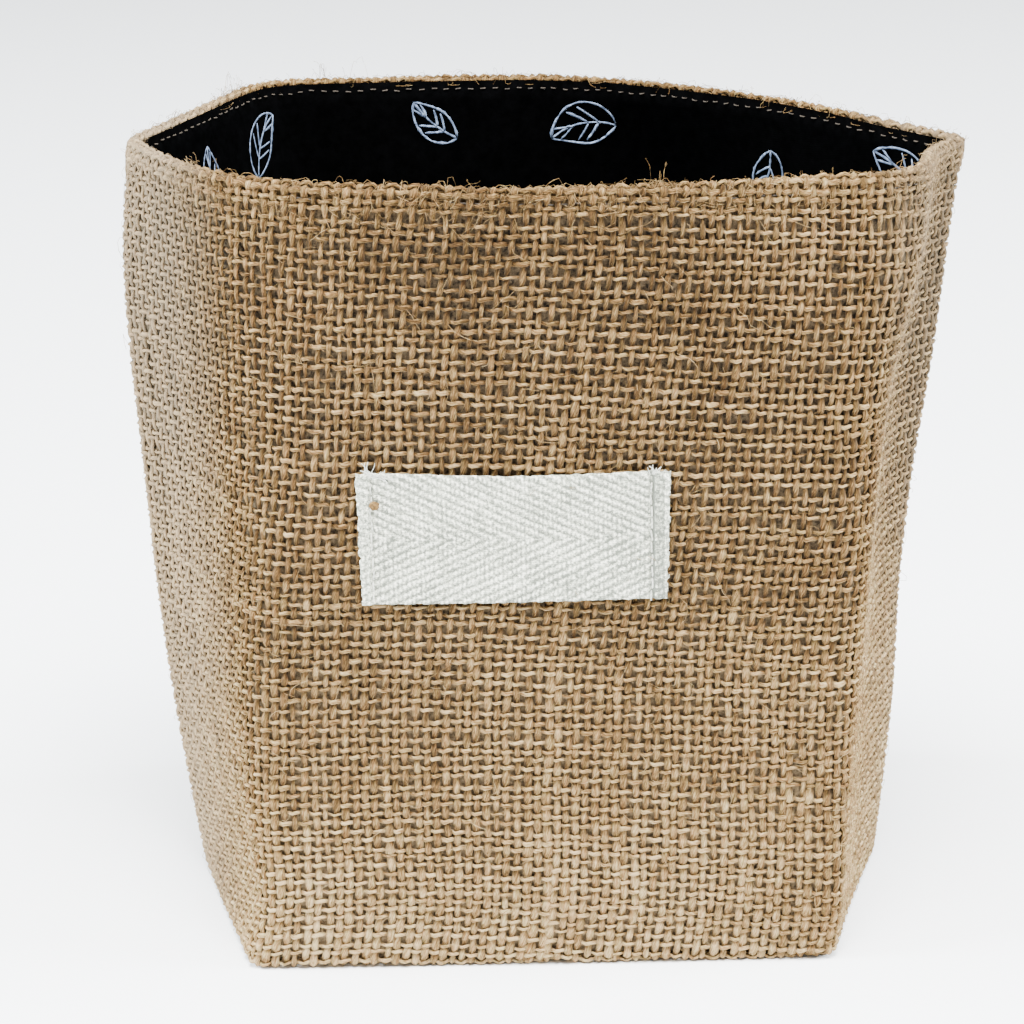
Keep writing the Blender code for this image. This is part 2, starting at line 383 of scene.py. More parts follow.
class Surface:
    """A cloth's middle surface, read between the points of a grid. across goes round the bag, from
    0 at the left seam to 1 at the right seam and on to 2, and along is in millimetres."""

    def __init__(self, route):
        """route is a line of (height, inset) points, from the cloth's lower end to its upper."""
        step = np.linalg.norm(np.diff(route, axis=0), axis=1)
        self.length = float(step.sum())
        rows = evenly(route, int(self.length / GRID_STEP) + 2)
        self.step = self.length / (len(rows) - 1)
        rings = []
        for height, inset in rows:
            ring = outline(height)
            way = np.roll(ring, -1, axis=0) - np.roll(ring, 1, axis=0)
            inward = unit(np.stack([-way[:, 1], way[:, 0]], axis=1))
            inward = unit(blurred(inward, NORMAL_BLUR, 0, True))
            ring = ring + inward * inset
            rings.append(np.column_stack([ring, np.full(len(ring), height)]))
        self.heights = rows[:, 0]
        self.rim = self.along_of(BAG_HEIGHT)
        self.settle(leaned(np.stack(rings)))

    def settle(self, points):
        """Keep the grid's points, and work out which way its face points."""
        self.points = points
        round_way = np.roll(points, -1, axis=1) - np.roll(points, 1, axis=1)
        up_way = np.gradient(points, axis=0)
        self.outs = unit(np.cross(round_way, up_way))

    def along_of(self, height):
        """How far along the cloth a height on the wall lies."""
        top = int(np.argmax(self.heights))
        return np.interp(height, self.heights[: top + 1], np.arange(top + 1) * self.step)

    def at(self, across, along, lift=0.0):
        """Points on the surface, lifted off it, and the face's direction there."""
        across, along = np.broadcast_arrays(across, along)
        column = across * HALF_COLUMNS
        row = np.clip(along / self.step, 0, len(self.points) - 1.001)
        c0, r0 = np.floor(column).astype(int), row.astype(int)
        cf, rf = (column - c0)[..., None], (row - r0)[..., None]
        total = self.points.shape[1]
        c0, c1 = c0 % total, (c0 + 1) % total
        found = []
        for grid in (self.points, self.outs):
            low = grid[r0, c0] * (1 - cf) + grid[r0, c1] * cf
            high = grid[r0 + 1, c0] * (1 - cf) + grid[r0 + 1, c1] * cf
            found.append(low * (1 - rf) + high * rf)
        out = unit(found[1])
        return found[0] + out * np.asarray(lift)[..., None], out


def quarter(centre, radius, from_degrees, to_degrees):
    """Points of an arc in the plane of height and inset."""
    turn = np.radians(np.linspace(from_degrees, to_degrees, 9))
    return np.stack([centre[0] + radius * np.sin(turn), centre[1] - radius * np.cos(turn)], axis=1)


def burlap_route():
    """The burlap's middle, from under the base up the wall, over the rim and down inside."""
    low = CLOTH_DEPTH + BASE_ROUND
    high = BAG_HEIGHT - CLOTH_DEPTH + 0.1 - RIM_ROUND
    inner = CLOTH_DEPTH + 2 * RIM_ROUND
    return np.concatenate([
        [(CLOTH_DEPTH, UNDER_BASE)],
        quarter((low, low), BASE_ROUND, -90, 0),
        quarter((high, CLOTH_DEPTH + RIM_ROUND), RIM_ROUND, 0, 180),
        [(high - HEM_INSIDE, inner)],
    ])


# Pieces -----------------------------------------------------------------------------------------


def linked(name, data):
    """A new object in the scene."""
    thing = bpy.data.objects.new(name, data)
    bpy.context.scene.collection.objects.link(thing)
    return thing


def finished(bm, mesh, finish):
    """The piece of a closed mesh, its faces turned outwards, in the finish of a slot."""
    bmesh.ops.recalc_face_normals(bm, faces=bm.faces)
    if bm.calc_volume(signed=True) < 0:
        bmesh.ops.reverse_faces(bm, faces=bm.faces)
    bm.to_mesh(mesh)
    bm.free()
    mesh.materials.append(finish)
    mesh.shade_smooth()
    piece = linked(mesh.name, mesh)
    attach(piece, "root")
    return piece


def tube_bundle(count, steps, sides):
    """Many capped tubes at once: circles, extruded a step at a time. Each point keeps its number,
    so that the tubes can then be laid where they belong."""
    bm = bmesh.new()
    number = bm.verts.layers.int.new("number")
    for i in range(count):
        ring = bmesh.ops.create_circle(bm, cap_ends=True, radius=1, segments=sides)["verts"]
        for k, vert in enumerate(ring):
            vert[number] = i * sides + k
    ends = [edge for edge in bm.edges if edge.is_boundary]
    for _ in range(1, steps):
        grown = bmesh.ops.extrude_edge_only(bm, edges=ends)["geom"]
        ends = []
        for part in grown:
            if isinstance(part, bmesh.types.BMVert):
                part[number] += count * sides
            elif isinstance(part, bmesh.types.BMEdge) and part.is_boundary:
                ends.append(part)
    bmesh.ops.holes_fill(bm, edges=ends, sides=sides)
    return bm


def strands(name, finish, paths, outs, half_width, half_depth, tone, sides=4):
    """One piece of many yarns, threads or fibres. paths and outs are [strand, step, xyz] in mm; the
    strand is half_width wide along the cloth and half_depth deep, and these and its tone may change
    by strand and step. Two attributes go with it for the material: the place on the strand, and its
    tone."""
    count, steps, _ = paths.shape
    half_width, half_depth, tone = (np.broadcast_to(values, (count, steps))[..., None]
                                    for values in (half_width, half_depth, tone))
    bm = tube_bundle(count, steps, sides)
    mesh = bpy.data.meshes.new(name)
    bm.to_mesh(mesh)
    bm.free()

    tangent = unit(np.gradient(paths, axis=1) + 1e-9)
    across = unit(np.cross(outs, tangent) + 1e-9)
    rise = np.cross(tangent, across)
    lengths = np.linalg.norm(np.diff(paths, axis=1), axis=2)
    along = np.concatenate([np.zeros((count, 1)), np.cumsum(lengths, axis=1)], axis=1)
    turn = TAU * np.arange(sides) / sides
    wide = half_width * np.cos(turn)
    deep = half_depth * np.sin(turn)
    places = (paths[:, :, None] + across[:, :, None] * wide[..., None]
              + rise[:, :, None] * deep[..., None])
    lane = np.broadcast_to((7.0 * np.arange(count))[:, None, None], wide.shape)
    fibre = np.stack([np.broadcast_to(along[..., None], wide.shape), wide + lane, deep], axis=3)
    tone = np.broadcast_to(tone, wide.shape)

    number = np.zeros(len(mesh.vertices), dtype=np.int32)
    mesh.attributes["number"].data.foreach_get("value", number)
    mesh.attributes.remove(mesh.attributes["number"])
    mesh.attributes.new("fibre", "FLOAT_VECTOR", "POINT")
    mesh.attributes.new("tone", "FLOAT", "POINT")
    for data, key, values in ((mesh.vertices, "co", places * MM),
                              (mesh.attributes["fibre"].data, "vector", fibre),
                              (mesh.attributes["tone"].data, "value", tone)):
        by_step = np.swapaxes(values, 0, 1).reshape(steps * count * sides, -1)[number]
        data.foreach_set(key, by_step.astype(np.float32).ravel())
    mesh.update()
    bm = bmesh.new()
    bm.from_mesh(mesh)
    return finished(bm, mesh, finish)


def patch(columns, rows, place, thickness=0.0):
    """A grid of columns by rows, each point laid by place(across, along), both from 0 to 1, which
    gives its place in mm. With a thickness it becomes a closed sheet."""
    bm = bmesh.new()
    bmesh.ops.create_grid(bm, x_segments=columns, y_segments=rows, size=0.5)
    spots = np.array([vert.co for vert in bm.verts]) + 0.5
    for vert, point in zip(bm.verts, place(spots[:, 0], spots[:, 1])):
        vert.co = Vector(point) * MM
    if thickness:
        bmesh.ops.solidify(bm, geom=bm.faces, thickness=thickness * MM)
    return bm


# Weave ------------------------------------------------------------------------------------------


def wander(seed, shape, slow, quick):
    """How far the yarns stray, in parts of their spacing: slowly together and quickly alone."""
    swaying, kinked = soft_noise(seed, shape, slow), soft_noise(seed + 1, shape, quick)
    return YARN_SWAY * swaying + YARN_KINKS * kinked


def weave_lattice(wall, half, seed, fall):
    """Where the yarns of one half cross, as [warp, row] places across and along the cloth. The
    wefts lie wider apart towards the top, and close at the rim; the warps drift to the right as
    they rise. The wefts fall towards the right by fall rows, so each warp has its own lowest row,
    which is given too."""
    stops = np.linspace(0, wall.length, 600)
    crowded = WEFT_SPACING * WEFT_CROWDING * math.pi / wall.length
    spacing = WEFT_SPACING - crowded * np.cos(math.pi * stops / wall.length)
    spacing = spacing * (1 - RIM_CROWDING * bell(stops - wall.rim, RIM_CROWDING_REACH))
    rows_by = np.concatenate([[0], np.cumsum(np.diff(stops) / spacing[:-1])])
    rows = int(rows_by[-1])

    warp = (np.arange(WARPS) + 0.5)[:, None]
    way = np.clip((warp / WARPS - WEFT_FALL_FROM) / (WEFT_FALL_TO - WEFT_FALL_FROM), 0, 1)
    fallen = fall * way**2 * (3 - 2 * way)
    lowest = np.round(fallen).astype(int)
    shape = (WARPS, rows + int(lowest.max()))
    row = (np.arange(shape[1]) + 0.5)[None, :]
    rng = np.random.default_rng(seed)
    sway = wander(seed + 1, shape, (5, 6), (0, 1.5))
    own = YARN_UNEVEN * rng.standard_normal((WARPS, 1))
    bend = np.sin(math.pi * np.clip((warp / WARPS - WARP_DRIFT_FROM) / WARP_DRIFT_WIDE, 0, 1)) ** 2
    drift = WARP_DRIFT * bend * (row / rows) ** 1.5
    across = half + np.clip(warp + sway + own + drift, 0.3, WARPS - 0.3) / WARPS
    sag = wander(seed + 3, shape, (7, 5), (1.5, 0))
    own = YARN_UNEVEN * rng.standard_normal((1, shape[1]))
    return across, np.interp(row + sag + own - fallen, rows_by, stops), lowest


def parts_of(values, starts, ends):
    """Each strand's values from its start to its end only, over the same number of steps."""
    steps = np.arange(values.shape[1])
    return np.stack([np.interp(np.linspace(start, end, len(steps)), steps, line)
                     for line, start, end in zip(values, starts, ends)])


def crests(values, axis):
    """A yarn's places just before and after each crossing, from those of the crossings."""
    values = np.moveaxis(values, axis, -1)
    gap = np.gradient(values, axis=-1)
    both = np.stack([values - CREST * gap, values + CREST * gap], axis=-1)
    return np.moveaxis(both.reshape(values.shape[:-1] + (-1,)), -1, axis)


def over_under(warps, rows):
    """1 where a warp passes over a weft and -1 where it passes under, by turns."""
    return 1 - 2.0 * ((np.arange(warps)[:, None] + np.arange(rows)[None, :]) % 2)


def yarn_look(seed, count, steps, per_yarn, slubs):
    """How thick and how light each yarn is along its way: [yarn, step] factors and tones."""
    rng = np.random.default_rng(seed)
    shape = (count, steps)
    thick = 1 + 0.09 * rng.standard_normal((count, 1))
    thick = thick + 0.12 * soft_noise(seed + 1, shape, (0, 1.8))
    thick = thick + slubs * np.clip(soft_noise(seed + 2, shape, (0, 5)) - 1.9, 0, 1)
    tone = 0.5 + per_yarn * rng.standard_normal((count, 1))
    tone = tone + 0.055 * soft_noise(seed + 3, shape, (0, 2))
    tone = tone + 0.05 * soft_noise(seed + 4, shape, (6, 12))
    return np.clip(thick, 0.6, 1.7), np.clip(tone, 0, 1)


def swollen(thick, wall, along):
    """The yarns' thickness, with the extra that the folded hem gives them by the rim."""
    return thick * (1 + RIM_SWELL * bell(along - wall.rim, RIM_SWELL_REACH, 4))


def seam_dip(away):
    """How deep the cloth turns in at a distance from a seam."""
    return SEAM_DIP * bell(away, SEAM_DIP_REACH)


def painted_shading(points):
    """How much painted light and shade make the burlap paler or darker at places on the front."""
    x, y, height = points[..., 0], points[..., 1], points[..., 2]
    tone = np.zeros_like(x)
    for at_x, at_height, reach_x, reach_height, amount in SHADES:
        away = ((x - at_x) / reach_x) ** 2 + ((height - at_height) / reach_height) ** 2
        tone += amount * np.exp(-away)
    return tone * (y < SEAM_Y)


def wall_yarns(name, finish, wall, u, s, above, wave, half_width, thick, tone):
    """One set of yarns at places u across and s along the wall, waving over and under the other."""
    thick = swollen(thick, wall, s)
    paths, outs = wall.at(u, s, wave * above - seam_dip((u - np.round(u)) * HALF_ROUND))
    # Painted light and shade go into the yarns' tone: the front's lit and shaded places, and the
    # crossings' paler crests and darker troughs.
    return strands(name, finish, paths, outs, half_width * thick, YARN_HALF_DEPTH * thick**0.5,
                   tone + painted_shading(paths) + CREST_LIGHT_AND_SHADE * above)


def woven_half(name, wall, half, seed, finish, fall):
    """The warps and wefts of one half of the bag, two pieces."""
    across, along, lowest = weave_lattice(wall, half, seed, fall)
    count = along.shape[1]
    rows = count - int(lowest.max())
    over = over_under(WARPS, count)

    on_warp = lowest + np.arange(rows)
    u, s, above = (np.take_along_axis(values, on_warp, 1) for values in (across, along, over))
    thick, tone = yarn_look(seed + 10, WARPS, 2 * rows, YARN_TONES, WARP_SLUBS)
    thick = thick * np.linspace(WARP_WIDER_LOW, WARP_FINER_HIGH, 2 * rows)
    warps = wall_yarns(name + "_warp", finish, wall, crests(u, 1), crests(s, 1),
                       np.repeat(above, 2, axis=1), WARP_WAVE, WARP_HALF_WIDTH, thick,
                       tone + WARP_PAINTED_SHADE)

    thick, tone = yarn_look(seed + 20, count, 2 * WARPS, YARN_TONES, WEFT_SLUBS)
    starts = 2 * np.array([np.argmax(lowest[:, 0] > row - rows) for row in range(count)])
    ends = 2 * np.array([np.sum(lowest[:, 0] <= row) for row in range(count)]) - 1
    above = -np.repeat(over, 2, axis=0).T
    tilted = crests(along, 0).T + WEFT_TILT * np.tile([-1.0, 1.0], WARPS) * (above > 0)
    u, s, above, thick, tone = (parts_of(values, starts, ends) for values in (
        crests(across, 0).T, tilted, above, thick, tone))
    wefts = wall_yarns(name + "_weft", finish, wall, u, s, above, WEFT_WAVE, WEFT_HALF_WIDTH, thick,
                       tone + WEFT_PAINTED_LIGHT)
    return [warps, wefts]


def cloth_gap_shade(name, wall, half, finish):
    """A dark sheet just under the weave of one half: painted shade where it shows between the
    yarns.
    """
    rows = GAP_SHADE_WALL_ROWS + GAP_SHADE_RIM_ROWS
    stops = (0, GAP_SHADE_WALL_ROWS / rows, 1)
    heights = (GAP_SHADE_FROM, wall.rim - 4.0, wall.length - 0.6 * HEM_INSIDE)

    def place(u, s):
        along = np.interp(s, stops, heights)
        by_rim = bell(along - wall.rim, GAP_SHADE_RIM_REACH, 4)
        sunk = GAP_SHADE_SUNK + (GAP_SHADE_RIM_SUNK - GAP_SHADE_SUNK) * by_rim
        return wall.at(half + 0.0005 + 0.999 * u, along, -sunk)[0]

    bm = patch(GAP_SHADE_COLUMNS, rows, place, GAP_SHADE_THICKNESS)
    return finished(bm, bpy.data.meshes.new(name), finish)


def base_point(across, along):
    """A place on the base: across from its left to its right side, along from front to back, both
    from 0 to 1, inside the outline of the wall's foot."""
    at = sizes_at(0)
    front = -at["front"] + BASE_INSET
    back = at["back"] - BASE_INSET
    y = front + (back - front) * along
    sides = []
    for side in "lr":
        depth = at["depth_" + side]
        stops = (front, SEAM_Y - depth, SEAM_Y, SEAM_Y + depth, back)
        reach = [at[corner + side] for corner in ("fold_", "tuck_", "seam_", "tuck_", "back_")]
        sides.append(np.interp(y, stops, reach) - BASE_INSET)
    left, right = -sides[0], sides[1]
    return np.stack([left + (right - left) * across, y, np.full_like(y, BASE_HEIGHT)], axis=-1)


def base_weave(finish):
    """The weave of the base, which dips where its two halves are sewn together."""
    warp = (np.arange(BASE_WARPS) + 0.5)[:, None]
    row = (np.arange(BASE_ROWS) + 0.5)[None, :]
    shape = (BASE_WARPS, BASE_ROWS)
    across = (warp + 0.25 * soft_noise(BASE_SEED, shape, (4, 5))) / BASE_WARPS
    along = (row + 0.25 * soft_noise(BASE_SEED + 1, shape, (5, 4))) / BASE_ROWS
    over = over_under(BASE_WARPS, BASE_ROWS)
    pieces = []
    for kind, wave, half_width, seed in (("warp", WARP_WAVE, WARP_HALF_WIDTH, BASE_SEED + 10),
                                         ("weft", -WEFT_WAVE, WEFT_HALF_WIDTH, BASE_SEED + 20)):
        u, v, lift = across, along, wave * over
        if kind == "weft":
            u, v, lift = u.T, v.T, lift.T
        paths = base_point(np.clip(u, 0, 1), np.clip(v, 0, 1))
        paths[..., 2] -= lift - seam_dip(paths[..., 1] - SEAM_Y)
        outs = np.broadcast_to([0.0, 0.0, -1.0], paths.shape)
        thick, tone = yarn_look(seed, *u.shape, BASE_YARN_TONES, BASE_SLUBS)
        pieces.append(strands("burlap_base_" + kind, finish, paths, outs, half_width * thick,
                              YARN_HALF_DEPTH * thick**0.5, tone))
    return pieces


def base_gap_shade(finish):
    """A dark sheet over the inside of the base's weave: painted shade where it shows between its
    yarns.
    """
    place = lambda u, v: base_point(u, v) + np.array([0, 0, GAP_SHADE_SUNK])
    bm = patch(BASE_GAP_SHADE_SIDE, BASE_GAP_SHADE_SIDE, place, -GAP_SHADE_THICKNESS)
    return finished(bm, bpy.data.meshes.new("burlap_base_gap_shade"), finish)


# Fibres and threads ------------------------------------------------------------------------------


def tones(rng, middle, spread, shape):
    """A random tone for each strand, or for each place on it."""
    return np.clip(middle + spread * rng.standard_normal(shape), 0, 1)


def fibres(name, finish, paths, outs, rng, thinnest, thickest):
    """Fine fibres along paths, each as thick and as light as it happens to be."""
    each = (len(paths), 1)
    half_width = rng.uniform(thinnest, thickest, each)
    tone = tones(rng, 0.75, 0.15, each)
    return strands(name, finish, paths, outs, half_width, half_width, tone, 3)


def face_fibres(name, wall, half, seed, finish):
    """Loose jute fibres that lie across the weave or stand a little off it."""
    rng = np.random.default_rng(seed)
    count, steps = FACE_FIBRES, 5
    t = np.linspace(0, 1, steps)
    length = rng.gamma(2.5, 1.4, (count, 1)) + 1.2
    turn = rng.uniform(0, TAU, (count, 1)) + rng.normal(0, 1.1, (count, 1)) * t
    turn = turn + 0.35 * rng.standard_normal((count, steps)).cumsum(axis=1)
    across = rng.uniform(0.01, 0.99, (count, 1)) * HALF_ROUND
    across = across + (length / steps * np.cos(turn)).cumsum(axis=1)
    along = rng.uniform(4, wall.rim, (count, 1))
    by_rim = rng.uniform(size=(count, 1)) < BY_RIM_SHARE
    along = np.where(by_rim, wall.rim + rng.uniform(-5.5, 1.5, (count, 1)), along)
    along = along + (length / steps * np.sin(turn)).cumsum(axis=1)
    stand = rng.gamma(1.2, 0.35, (count, 1)) * np.sin(math.pi * t) ** 0.7
    lift = 0.42 + 0.12 * rng.standard_normal((count, 1)) + np.clip(stand, 0, 2.6)
    across = half + np.clip(across / HALF_ROUND, 0.004, 0.996)
    along = np.clip(along, 2.5, wall.rim + 1.6)
    return fibres(name, finish, *wall.at(across, along, lift), rng, 0.028, 0.05)


def rim_fibres(wall, finish):
    """Fibres that curl off the folded rim, some of them in longer clumps."""
    rng = np.random.default_rng(RIM_FIBRE_SEED)
    count, steps = RIM_FIBRES, 8
    t = np.linspace(0, 1, steps)
    clump = rng.uniform(0, 2, 9)
    in_clump = rng.uniform(size=(count, 1)) < 0.15
    start = rng.choice(clump, (count, 1)) + 0.008 * rng.standard_normal((count, 1))
    start = np.where(in_clump, start, rng.uniform(0, 2, (count, 1)))
    reach = rng.normal(0, 1.8, (count, 1))
    rise = rng.gamma(1.4, 0.42, (count, 1)) * np.where(in_clump, 2.6, 1.0)
    side = rng.normal(0.1, 0.8, (count, 1))
    rim = wall.rim + rng.uniform(-1.2, 1.0, (count, 1))
    ends = rng.uniform(0.5, 1.0, (count, 1))
    foot, outs = wall.at(start + reach * t / HALF_ROUND, rim, 0.15)
    arc = np.sin(math.pi * t * ends)
    wiggle = 0.22 * rng.standard_normal((count, steps, 3)).cumsum(axis=1) * t[:, None]
    paths = foot + outs * (side * arc)[..., None] + wiggle
    paths[..., 2] = np.minimum(foot[..., 2] + rise * arc + wiggle[..., 2], FIBRE_TOP)
    return fibres("rim_fibres", finish, paths, outs, rng, 0.022, 0.042)


def topstitch(name, surface, edge, stitch, finish, seed):
    """Running stitches all round a surface under its edge: each goes in at its ends."""
    long, half_width, lift, drop = stitch
    rng = np.random.default_rng(seed)
    t = np.linspace(-1, 1, 5)
    across = np.arange(0.006, 1.994, STITCH_SPACING / HALF_ROUND)[:, None]
    places = across + long / 2 / HALF_ROUND * t + 0.0004 * rng.standard_normal(across.shape)
    heights = edge - drop + 0.12 * rng.standard_normal(across.shape)
    heights = heights + 0.08 * rng.standard_normal(across.shape) * t
    paths, outs = surface.at(places, heights, lift * (1 - 1.6 * t**4))
    wide = half_width * (1 - 0.35 * t**6)
    tone = tones(rng, 0.6, 0.1, across.shape)
    return strands(name, finish, paths, outs, wide, 0.8 * wide, tone, 5)


def seam_bundles(wall, finish):
    """The thick folded ends of the side seams, where they are turned over the rim."""
    rng = np.random.default_rng(SEAM_SEED)
    across, along, count = [], [], 8
    for seam in (0.0, 1.0):
        spots = np.linspace(-2.2, 2.2, count) + 0.2 * rng.standard_normal(count)
        way = np.linspace(-6.5, 4.5, 16)
        fan = 1 - 0.35 * np.clip(-way / 6.5, 0, 1)
        across.append(seam + spots[:, None] * fan / HALF_ROUND)
        along.append(wall.rim + way + 0.9 * rng.standard_normal((count, 1)) * (way < 0))
    across, along = np.concatenate(across) % 2, np.concatenate(along)
    way = np.linspace(-1, 1, along.shape[1])
    lift = 0.12 * (1 - 3 * way**4) + 0.13 * rng.standard_normal(along.shape)
    paths, outs = wall.at(across, along, lift)
    wide = 0.4 * (1 - 0.5 * way**6) * (1 + 0.2 * rng.standard_normal(along.shape))
    tone = tones(rng, 0.55, 0.14, along.shape)
    return strands("seam_ends", finish, paths, outs, wide, 0.75 * wide, tone, 6)


# Lining ------------------------------------------------------------------------------------------


def lining_surface():
    """The lining's middle, drawn a little off the burlap in soft puckers under its sewn edge."""
    surface = Surface(np.array([(LINING_FLOOR, LINING_INSET), (LINING_TOP, LINING_INSET)]))
    surface.settle(blurred(surface.points, LINING_ROUNDED, 1, True))
    rows, columns = surface.points.shape[:2]
    below = (LINING_TOP - surface.heights)[:, None]
    slack = np.clip((below - 4) / 14, 0, 1)
    soft = soft_noise(LINING_SEED, (rows, columns), (50, 9), (False, True))
    puckers = soft_noise(LINING_SEED + 1, (rows, columns), (12, 2.6), (False, True))
    puckers = puckers * np.exp(-below / 9)
    inwards = slack * 0.55 * np.clip(soft + 0.8, 0, 3) + 0.12 * puckers
    surface.settle(surface.points - surface.outs * inwards[..., None])
    return surface


def lining_cloth(lining, finish):
    """The black lining: its floor and wall on the outside, over its top edge, and back inside."""
    rows = 2 * (LINING_WALL_ROWS + LINING_FLOOR_ROWS)

    def place(u, s):
        step = np.abs(2 * s - 1) * rows / 2
        side = np.sign(0.5 - s)
        fall = lining.length * np.clip(step / LINING_WALL_ROWS, 0, 1)
        points, outs = lining.at(2 * u, lining.length - fall)
        inwards = np.clip((step - LINING_WALL_ROWS) / LINING_FLOOR_ROWS, 0, 1)[:, None]
        middle = np.array([0.0, 0.0, LINING_FLOOR])
        down = np.where(inwards > 0, [0.0, 0.0, -1.0], outs)
        points = points + (middle - points) * inwards
        return points + down * (side * LINING_THICKNESS / 2)[:, None]

    bm = patch(LINING_COLUMNS, rows, place)
    bmesh.ops.remove_doubles(bm, verts=bm.verts, dist=0.001 * MM)
    return finished(bm, bpy.data.meshes.new("cotton_lining"), finish)


def leaf_strokes(rng):
    """The strokes of one leaf, in mm: its bent midrib and two sides, and its veins."""
    t = np.linspace(0, 1, LEAF_STEPS)
    long = rng.uniform(11.5, 17.0)
    bend = rng.uniform(0.5, 1.1) * rng.choice((-1, 1))
    turn = bend * (t - 0.3)
    rib = np.stack([np.cumsum(np.sin(turn)), np.cumsum(np.cos(turn))], axis=1) * long / len(t)
    normal = np.stack([np.cos(turn), -np.sin(turn)], axis=1)
    wide = 0.27 * long * np.sin(math.pi * t**0.85) ** 0.8
    strokes = [rib, rib + normal * wide[:, None], rib - normal * wide[:, None]]
    k = np.linspace(0, 1, VEIN_STEPS)[:, None]
    veins = []
    for at in VEINS_FROM:
        end = at + VEIN_REACH
        for side in (-1, 1):
            tip = rib[end] + side * normal[end] * wide[end] * 0.82
            bow = (rib[at] + tip) / 2 + np.array([0.0, -0.35])
            veins.append((1 - k) ** 2 * rib[at] + 2 * k * (1 - k) * bow + k**2 * tip)
    middle = rib.mean(axis=0)
    return np.array(strokes) - middle, np.array(veins) - middle


def turned_leaf(rng):
    """A leaf's strokes and veins, turned any way."""
    turn = rng.uniform(0, TAU)
    turned = []
    for strokes in leaf_strokes(rng):
        x = strokes[..., 0] * math.cos(turn) - strokes[..., 1] * math.sin(turn)
        y = strokes[..., 0] * math.sin(turn) + strokes[..., 1] * math.cos(turn)
        turned.append((x, y))
    return turned


def printed_leaves(lining, finish):
    """The lining's print: leaves in outline, each row set off by half the way to the next leaf, and
    some more on the floor."""
    rng = np.random.default_rng(PRINT_SEED)
    drawn = ([], [])
    for row in range(LEAF_ROWS):
        for column in range(LEAF_COLUMNS):
            u = (column + 0.5 * (row % 2) + 0.25 + 0.13 * rng.standard_normal()) * 2 / LEAF_COLUMNS
            along = lining.length - LEAF_TOP - LEAF_SPACING * row + rng.uniform(-5.5, 5.5)
            for kind, (x, y) in zip(drawn, turned_leaf(rng)):
                kind.append(lining.at(u + x / HALF_ROUND, along + y, -PRINT_LIFT))
    for x0, y0 in FLOOR_LEAVES:
        for kind, (x, y) in zip(drawn, turned_leaf(rng)):
            flat = np.stack([x0 + x, y0 + y, np.full_like(x, LINING_FLOOR + PRINT_LIFT)], axis=-1)
            kind.append((flat, np.broadcast_to([0.0, 0.0, 1.0], flat.shape)))
    pieces = []
    for name, kind in zip(("lining_print", "lining_print_veins"), drawn):
        paths, outs = (np.concatenate(parts) for parts in zip(*kind))
        shape = paths.shape[:2]
        wide = np.clip(PRINT_HALF_WIDTH * (1 + 0.22 * rng.standard_normal(shape)), 0.12, 0.5)
        wide[:, (0, -1)] *= 0.5
        tone = tones(rng, 0.6, 0.2, shape)
        pieces.append(strands(name, finish, paths, outs, wide, PRINT_HALF_DEPTH, tone, 3))
    return pieces


# Tape --------------------------------------------------------------------------------------------


def tape_relief(x, z):
    """How far the herringbone stands up, from 0 to 1, at a place in mm from the tape's middle."""
    rib = (np.abs(z) + TAPE_SLOPE * x) / TAPE_RIB
    ridge = 0.5 + 0.5 * np.cos(TAU * rib)
    picks = 0.5 + 0.5 * np.cos(TAU * x / TAPE_PICK)
    return ridge * (0.55 + 0.45 * picks)


def tape_on_wall(wall, x, z, lift):
    """Points of the front panel at places given from the middle of the tape."""
    height = TAPE_CENTRE_Z + z
    along = wall.along_of(height)
    row = np.clip((along / wall.step).astype(int), 0, len(wall.points) - 1)
    columns = np.arange(30, HALF_COLUMNS - 30)
    across = np.empty_like(x)
    for index in np.unique(row):
        here = row == index
        across[here] = np.interp(x[here] + TAPE_CENTRE_X, wall.points[index, columns, 0], columns)
    points, outs = wall.at(across / HALF_COLUMNS, along, 0.0)
    return points + outs * np.asarray(lift)[..., None], outs


def tape_patch(wall, finish):
    """The herringbone tape: its relief, rounded edges, thick turned ends and sunk stitch lines."""
    rng = np.random.default_rng(TAPE_SEED)
    edge = {side: 0.13 * blurred(rng.standard_normal(400), 2.0, 0, False) for side in "lrtb"}

    def place(u, v):
        x = (u - 0.5) * TAPE_LENGTH
        z = (v - 0.5) * TAPE_WIDTH
        spot = lambda side, k: np.interp(k * 399, np.arange(400), edge[side])
        left, right = np.clip(1 - 2 * u, 0, 1), np.clip(2 * u - 1, 0, 1)
        low, high = np.clip(1 - 2 * v, 0, 1), np.clip(2 * v - 1, 0, 1)
        x = x + left * spot("l", v) * 3 + right * spot("r", v) * 3
        z = z + high * (spot("t", u) - 0.35 * np.sin(math.pi * u) ** 2)
        drawn = spot("b", u) + TAPE_DRAWN_LEFT + (TAPE_DRAWN_RIGHT - TAPE_DRAWN_LEFT) * u
        z = z + low * drawn
        x = x - 0.6 * (1 - v) * (2 * u - 1)
        from_end = TAPE_LENGTH / 2 - np.abs(x)
        from_side = TAPE_WIDTH / 2 - np.abs(z)
        fold = np.where(x < 0, TAPE_FOLD_LEFT, TAPE_FOLD_RIGHT)
        lift = TAPE_LIFT + TAPE_RELIEF * tape_relief(x, z)
        lift = lift + 0.6 / (1 + np.exp(np.clip((from_end - fold) / 0.25, -30, 30)))
        lift = lift - 0.5 * bell(from_end - fold - 0.1, 0.35)
        lift = lift - 0.35 * np.exp(-(from_side / 0.35)) - 0.45 * np.exp(-(from_end / 0.35))
        lift = lift + 0.10 * bell(from_side - 0.8, 0.5)
        return tape_on_wall(wall, x, z, lift)[0]

    bm = patch(TAPE_COLUMNS, TAPE_ROWS, place, TAPE_THICKNESS)
    return finished(bm, bpy.data.meshes.new("herringbone_tape"), finish)


